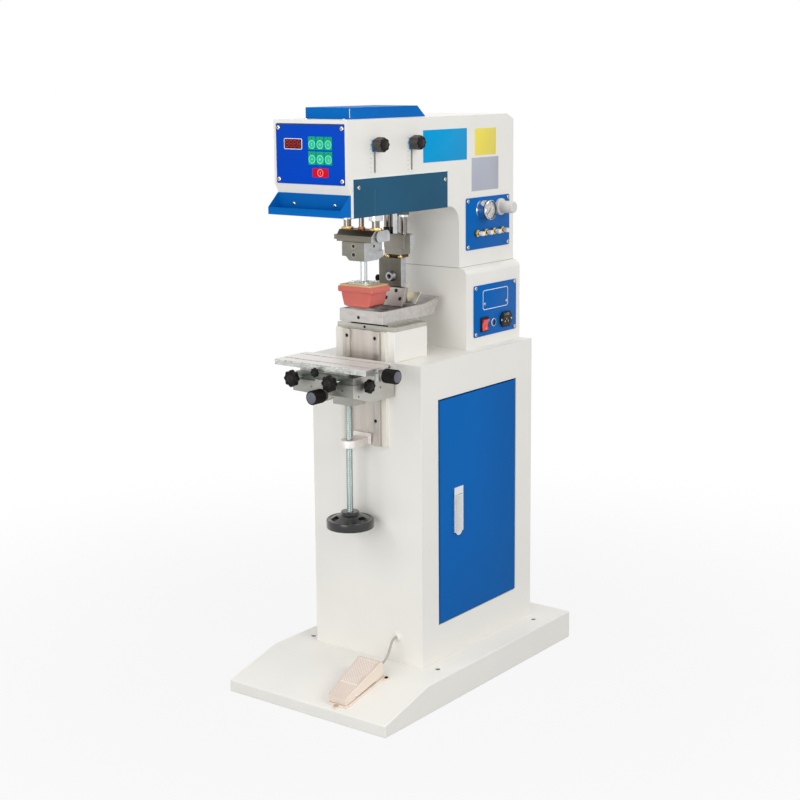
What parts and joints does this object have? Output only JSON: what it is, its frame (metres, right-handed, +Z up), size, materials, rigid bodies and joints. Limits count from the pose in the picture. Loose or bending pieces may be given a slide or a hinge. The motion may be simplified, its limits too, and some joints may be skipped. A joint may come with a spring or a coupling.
{
  "type": "pad printing machine",
  "caption": "Floor-standing pad printer: open C head with sliding pad and doctor unit over an ink tray, screw-lifted T-slot table, cabinet with door, foot pedal.",
  "frame": {"origin": "centre of the base's underside, on the floor", "axes": "+Z up, -Y towards the operator, +X towards the side with the door and the panels"},
  "size_m": [0.424, 0.7108, 1.2468],
  "materials": {
    "white_paint": "warm white satin enamel",
    "blue_paint": "blue satin enamel",
    "blue_panel": "blue satin film on sheet",
    "teal_sheet": "dark blue-green gloss sheet",
    "milled_aluminium": "milled, fine lay",
    "ground_steel": "ground steel",
    "zinc_steel": "zinc plated",
    "chromed_steel": "hard chrome",
    "black_plastic": "moulded, satin",
    "white_plastic": "moulded, satin",
    "red_plastic": "moulded, gloss",
    "pedal_plastic": "moulded, textured",
    "cable_jacket": "smooth jacket",
    "pad_silicone": "soft silicone"
  },
  "bodies": {
    "frame": {"base_plate": "white_paint", "cabinet_shell": "white_paint", "column_block": "white_paint", "slide_rail": "milled_aluminium", "screw_bracket": "milled_aluminium", "bed_plate": "milled_aluminium", "ink_tray": "milled_aluminium", "cliche_plate": "ground_steel", "head_body": "white_paint", "lower_housing": "white_paint", "top_cover": "blue_paint", "side_cover": "teal_sheet", "guard_tray": "blue_paint", "control_panel": "blue_panel", "pneumatic_panel": "blue_panel", "electrical_panel": "blue_panel", "pressure_gauge": "chromed_steel", "pedal_base": "pedal_plastic", "pedal_cable": "cable_jacket", "cable_grommet": "white_plastic"},
    "door": {"cabinet_door": "blue_paint", "handle_plate": "chromed_steel"},
    "door_lever": {"handle_lever": "chromed_steel"},
    "knee": {"knee": "milled_aluminium"},
    "lift_screw": {"table_screw": "zinc_steel", "handwheel": "black_plastic"},
    "cross": {"cross_slide": "milled_aluminium"},
    "cross_screw": {"cross_screw_knob": "black_plastic"},
    "table": {"long_slide": "milled_aluminium", "work_table": "milled_aluminium"},
    "long_screw": {"long_screw_knob": "black_plastic"},
    "clamp_left": {"clamp_knob_left": "black_plastic"},
    "clamp_centre": {"clamp_knob_centre": "black_plastic"},
    "clamp_table": {"clamp_knob_table": "black_plastic"},
    "clamp_side": {"clamp_knob_side": "black_plastic"},
    "shuttle": {"shuttle_carriage": "ground_steel"},
    "pad": {"pad_crossbar": "ground_steel", "pad_holder": "milled_aluminium", "pad_rod": "chromed_steel", "print_pad": "pad_silicone", "pad_guide_left": "chromed_steel", "pad_guide_right": "chromed_steel", "pad_piston_rod": "chromed_steel"},
    "doctor": {"doctor_block": "ground_steel", "doctor_guide_left": "chromed_steel", "doctor_guide_right": "chromed_steel", "doctor_plate": "ground_steel", "blade_holder": "milled_aluminium", "ink_spatula": "ground_steel"},
    "doctor_screw": {"doctor_knob": "black_plastic"},
    "front_stop": {"front_slider": "black_plastic"},
    "rear_stop": {"rear_slider": "black_plastic"},
    "gauge_needle": {"gauge_pointer": "black_plastic"},
    "regulator": {"regulator_knob": "white_plastic"},
    "flow_1": {"flow_knob_1": "white_plastic"},
    "flow_2": {"flow_knob_2": "white_plastic"},
    "flow_3": {"flow_knob_3": "white_plastic"},
    "flow_4": {"flow_knob_4": "white_plastic"},
    "rocker": {"rocker_switch": "red_plastic"},
    "pedal": {"pedal_top": "pedal_plastic"}
  },
  "joints": [
    {"name": "door_hinge", "type": "hinge", "parent": "frame", "child": "door", "pos_m": [0.1425, 0.2123, 0.39], "axis": [0, 0, 1], "range_deg": [0, 100]},
    {"name": "lever_pivot", "type": "hinge", "parent": "door", "child": "door_lever", "pos_m": [0.1524, -0.0151, 0.4181], "axis": [0, -1, 0], "range_deg": [0, 40]},
    {"name": "table_lift", "type": "slide", "parent": "frame", "child": "knee", "axis": [0, 0, 1], "range_m": [-0.075, 0.055]},
    {"name": "lift_screw_turn", "type": "hinge", "parent": "knee", "child": "lift_screw", "pos_m": [0, -0.197, 0.5], "axis": [0, 0, 1], "continuous": true},
    {"name": "cross_travel", "type": "slide", "parent": "knee", "child": "cross", "axis": [0, 1, 0], "range_m": [-0.01, 0.012]},
    {"name": "cross_screw_turn", "type": "hinge", "parent": "knee", "child": "cross_screw", "pos_m": [0.012, -0.292, 0.669], "axis": [0, -1, 0], "continuous": true},
    {"name": "long_travel", "type": "slide", "parent": "cross", "child": "table", "axis": [1, 0, 0], "range_m": [-0.016, 0.018]},
    {"name": "long_screw_turn", "type": "hinge", "parent": "table", "child": "long_screw", "pos_m": [0.124, -0.24, 0.714], "axis": [1, 0, 0], "continuous": true},
    {"name": "clamp_left_turn", "type": "hinge", "parent": "cross", "child": "clamp_left", "pos_m": [-0.061, -0.275, 0.69753], "axis": [0, -1, 0], "range_deg": [0, 360]},
    {"name": "clamp_centre_turn", "type": "hinge", "parent": "cross", "child": "clamp_centre", "pos_m": [0.039, -0.275, 0.69753], "axis": [0, -1, 0], "range_deg": [0, 360]},
    {"name": "clamp_table_turn", "type": "hinge", "parent": "table", "child": "clamp_table", "pos_m": [-0.004, -0.262, 0.715], "axis": [0, -1, 0], "range_deg": [0, 360]},
    {"name": "clamp_side_turn", "type": "hinge", "parent": "knee", "child": "clamp_side", "pos_m": [0.08, -0.243, 0.688], "axis": [1, 0, 0], "range_deg": [0, 360]},
    {"name": "shuttle_travel", "type": "slide", "parent": "frame", "child": "shuttle", "axis": [0, -1, 0], "range_m": [0, 0.089]},
    {"name": "pad_stroke", "type": "slide", "parent": "shuttle", "child": "pad", "axis": [0, 0, -1], "range_m": [-0.014, 0.001]},
    {"name": "doctor_lift", "type": "slide", "parent": "shuttle", "child": "doctor", "axis": [0, 0, 1], "range_m": [0, 0.012]},
    {"name": "doctor_screw_turn", "type": "hinge", "parent": "doctor", "child": "doctor_screw", "pos_m": [-0.0365, -0.033, 0.878], "axis": [-1, 0, 0], "range_deg": [0, 360]},
    {"name": "front_stop_travel", "type": "slide", "parent": "frame", "child": "front_stop", "axis": [0, 0, -1], "range_m": [-0.005, 0.05]},
    {"name": "rear_stop_travel", "type": "slide", "parent": "frame", "child": "rear_stop", "axis": [0, 0, -1], "range_m": [-0.005, 0.05]},
    {"name": "gauge_needle_turn", "type": "hinge", "parent": "frame", "child": "gauge_needle", "pos_m": [0.1162, 0.1575, 1.018], "axis": [-1, 0, 0], "range_deg": [0, 270]},
    {"name": "regulator_turn", "type": "hinge", "parent": "frame", "child": "regulator", "pos_m": [0.104, 0.228, 1.0195], "axis": [1, 0, 0], "range_deg": [-720, 720]},
    {"name": "flow_1_turn", "type": "hinge", "parent": "frame", "child": "flow_1", "pos_m": [0.1082, 0.134, 0.9678], "axis": [1, 0, 0], "range_deg": [-1080, 1080]},
    {"name": "flow_2_turn", "type": "hinge", "parent": "frame", "child": "flow_2", "pos_m": [0.1082, 0.1663, 0.9678], "axis": [1, 0, 0], "range_deg": [-1080, 1080]},
    {"name": "flow_3_turn", "type": "hinge", "parent": "frame", "child": "flow_3", "pos_m": [0.1082, 0.1986, 0.9678], "axis": [1, 0, 0], "range_deg": [-1080, 1080]},
    {"name": "flow_4_turn", "type": "hinge", "parent": "frame", "child": "flow_4", "pos_m": [0.1082, 0.2309, 0.9678], "axis": [1, 0, 0], "range_deg": [-1080, 1080]},
    {"name": "rocker_tilt", "type": "hinge", "parent": "frame", "child": "rocker", "pos_m": [0.1146, 0.1383, 0.7672], "axis": [0, -1, 0], "range_deg": [0, 18]},
    {"name": "pedal_press", "type": "hinge", "parent": "frame", "child": "pedal", "pos_m": [0.075, -0.30743, 0.04818], "axis": [-1, 0, 0], "range_deg": [0, 2], "stiffness_Nm_per_rad": 40}
  ],
  "couplings": [
    {"joint": "lift_screw_turn", "follows": "table_lift", "rad_per_m": 1570.8},
    {"joint": "cross_screw_turn", "follows": "cross_travel", "rad_per_m": 4188.8},
    {"joint": "long_screw_turn", "follows": "long_travel", "rad_per_m": 4188.8}
  ]
}
